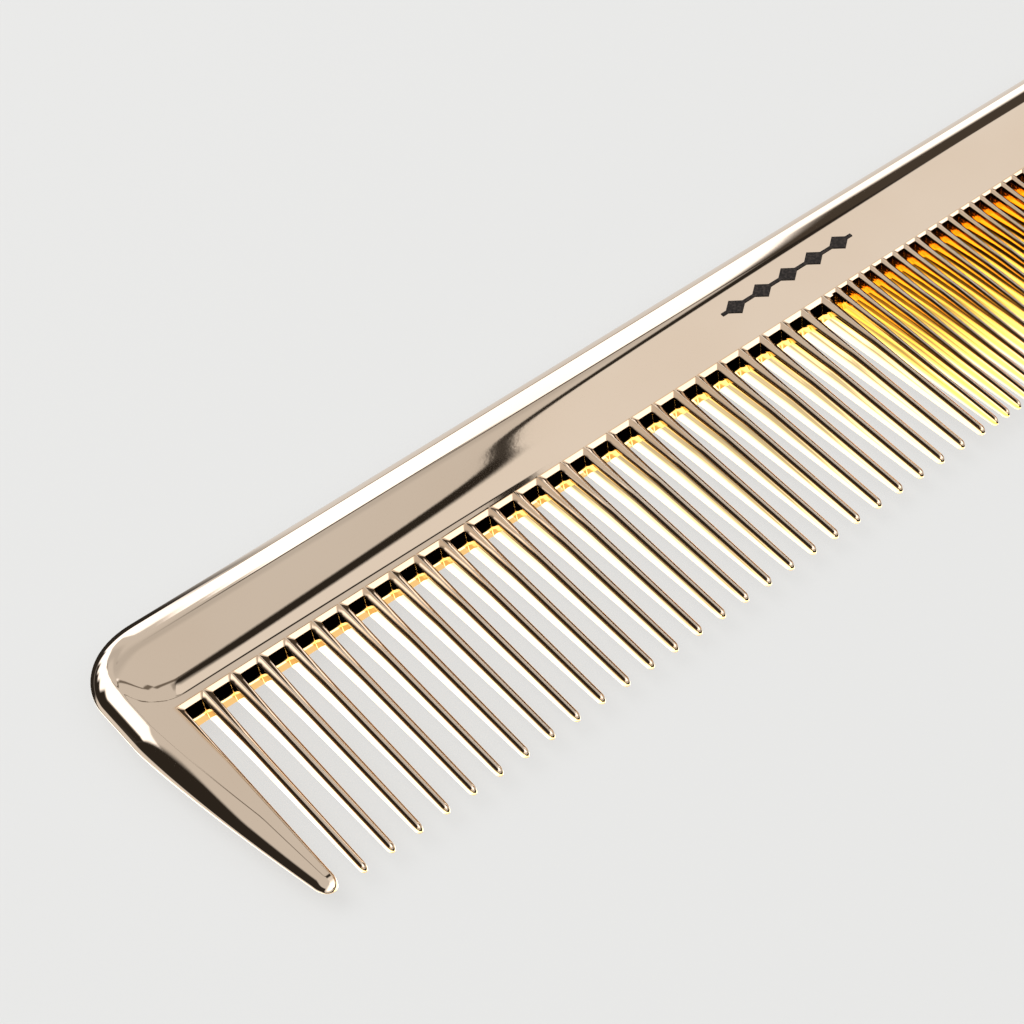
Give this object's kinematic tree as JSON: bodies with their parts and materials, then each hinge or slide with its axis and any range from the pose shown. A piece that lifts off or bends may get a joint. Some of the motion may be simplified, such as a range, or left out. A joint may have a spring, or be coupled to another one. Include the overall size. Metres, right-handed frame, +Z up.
{
  "type": "hair comb",
  "caption": "Flat hairdressing comb with a coarse half, a fine half, wide end guards and a cushion-shaped spine, in bright rose-gold plating.",
  "frame": {"origin": "centre of the underside of the box around the comb, with the comb lying flat on its back", "axes": "+X along the row of teeth from the coarse end to the fine end, +Y from the tooth tips to the spine, +Z up through the thickness, out of the printed side"},
  "size_m": [0.176, 0.039, 0.0051],
  "materials": {
    "plated_body": "mirror-bright rose-gold metal plating over moulded plastic",
    "print": "thin black pad-printed ink"
  },
  "bodies": {
    "root": {"spine": "plated_body", "guard_coarse_end": "plated_body", "guard_fine_end": "plated_body", "coarse_tooth_01": "plated_body", "coarse_tooth_02": "plated_body", "coarse_tooth_03": "plated_body", "coarse_tooth_04": "plated_body", "coarse_tooth_05": "plated_body", "coarse_tooth_06": "plated_body", "coarse_tooth_07": "plated_body", "coarse_tooth_08": "plated_body", "coarse_tooth_09": "plated_body", "coarse_tooth_10": "plated_body", "coarse_tooth_11": "plated_body", "coarse_tooth_12": "plated_body", "coarse_tooth_13": "plated_body", "coarse_tooth_14": "plated_body", "coarse_tooth_15": "plated_body", "coarse_tooth_16": "plated_body", "coarse_tooth_17": "plated_body", "coarse_tooth_18": "plated_body", "coarse_tooth_19": "plated_body", "coarse_tooth_20": "plated_body", "coarse_tooth_21": "plated_body", "coarse_tooth_22": "plated_body", "coarse_tooth_23": "plated_body", "coarse_tooth_24": "plated_body", "coarse_tooth_25": "plated_body", "coarse_tooth_26": "plated_body", "coarse_tooth_27": "plated_body", "fine_teeth_01": "plated_body", "fine_teeth_02": "plated_body", "fine_teeth_03": "plated_body", "fine_teeth_04": "plated_body", "fine_teeth_05": "plated_body", "fine_teeth_06": "plated_body", "fine_teeth_07": "plated_body", "fine_teeth_08": "plated_body", "fine_teeth_09": "plated_body", "fine_teeth_10": "plated_body", "fine_teeth_11": "plated_body", "fine_teeth_12": "plated_body", "fine_teeth_13": "plated_body", "fine_teeth_14": "plated_body", "fine_teeth_15": "plated_body", "fine_teeth_16": "plated_body", "fine_teeth_17": "plated_body", "fine_teeth_18": "plated_body", "fine_teeth_19": "plated_body", "fine_teeth_20": "plated_body", "fine_teeth_21": "plated_body", "fine_teeth_22": "plated_body", "fine_teeth_23": "plated_body", "fine_teeth_24": "plated_body", "printed_mark": "print"}
  },
  "joints": []
}
